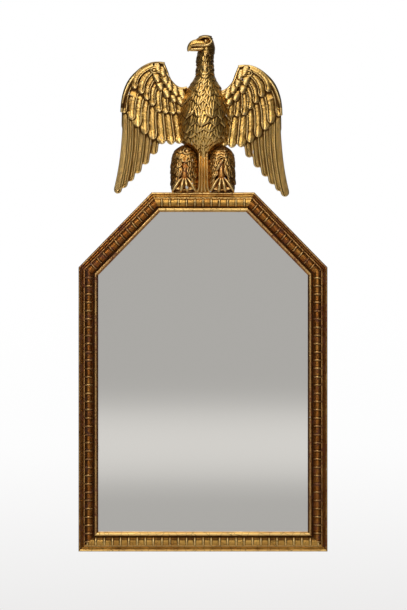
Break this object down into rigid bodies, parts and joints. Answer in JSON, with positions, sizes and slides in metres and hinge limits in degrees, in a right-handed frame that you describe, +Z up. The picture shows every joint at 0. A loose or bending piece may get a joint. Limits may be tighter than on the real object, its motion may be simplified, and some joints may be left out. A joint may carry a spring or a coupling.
{
  "type": "wall mirror with carved eagle crest",
  "caption": "Giltwood wall mirror: a ribbed frame with canted top corners holds a flat plate, and a carved eagle with spread wings stands on the top rail.",
  "frame": {"origin": "on the back plane of the frame, midway between the two points where the wall hooks carry the hanger rings", "axes": "+Z up, +X to the viewer's right, the front faces -Y and the wall is at +Y"},
  "size_m": [0.56, 0.0698, 1.1595],
  "materials": {
    "gilt_wood": "worn gilding over red clay on moulded wood",
    "gilt_roll": "worn gilding on a ribbed roll",
    "gilt_carving": "antique gilding on carved wood, dark in the hollows",
    "raw_wood": "aged bare softwood",
    "silvered_glass": "old silvered plate",
    "iron": "dark wrought iron",
    "hanger_steel": "dulled plated steel"
  },
  "bodies": {
    "root": {"bottom_rail": "gilt_wood", "right_stile": "gilt_wood", "right_cant_rail": "gilt_wood", "top_rail": "gilt_wood", "left_cant_rail": "gilt_wood", "left_stile": "gilt_wood", "corner_splines": "raw_wood", "ribbed_roll_bottom": "gilt_roll", "ribbed_roll_right": "gilt_roll", "ribbed_roll_right_cant": "gilt_roll", "ribbed_roll_top": "gilt_roll", "ribbed_roll_left_cant": "gilt_roll", "ribbed_roll_left": "gilt_roll", "mirror_plate": "silvered_glass", "glazing_blocks": "raw_wood", "backboard_brads": "iron", "lower_backboard": "raw_wood", "middle_backboard": "raw_wood", "upper_backboard": "raw_wood", "hanger_strap_left": "hanger_steel", "hanger_strap_right": "hanger_steel", "hanger_screws": "hanger_steel", "crest_strap": "iron", "crest_screws": "iron", "neck_dowel": "raw_wood", "eagle_head": "gilt_carving", "tail": "gilt_carving", "leg_dowels": "raw_wood", "left_leg": "gilt_carving", "left_foot": "gilt_carving", "right_leg": "gilt_carving", "right_foot": "gilt_carving", "wing_dowels": "raw_wood", "left_wing": "gilt_carving", "right_wing": "gilt_carving", "eagle_body": "gilt_carving"},
    "left_ring": {"hanger_ring_left": "hanger_steel"},
    "right_ring": {"hanger_ring_right": "hanger_steel"}
  },
  "joints": [
    {"name": "left_ring_swing", "type": "hinge", "parent": "root", "child": "left_ring", "pos_m": [-0.265, 0.0038, -0.017], "axis": [1, 0, 0], "range_deg": [0, 180]},
    {"name": "right_ring_swing", "type": "hinge", "parent": "root", "child": "right_ring", "pos_m": [0.265, 0.0038, -0.017], "axis": [1, 0, 0], "range_deg": [0, 180]}
  ]
}
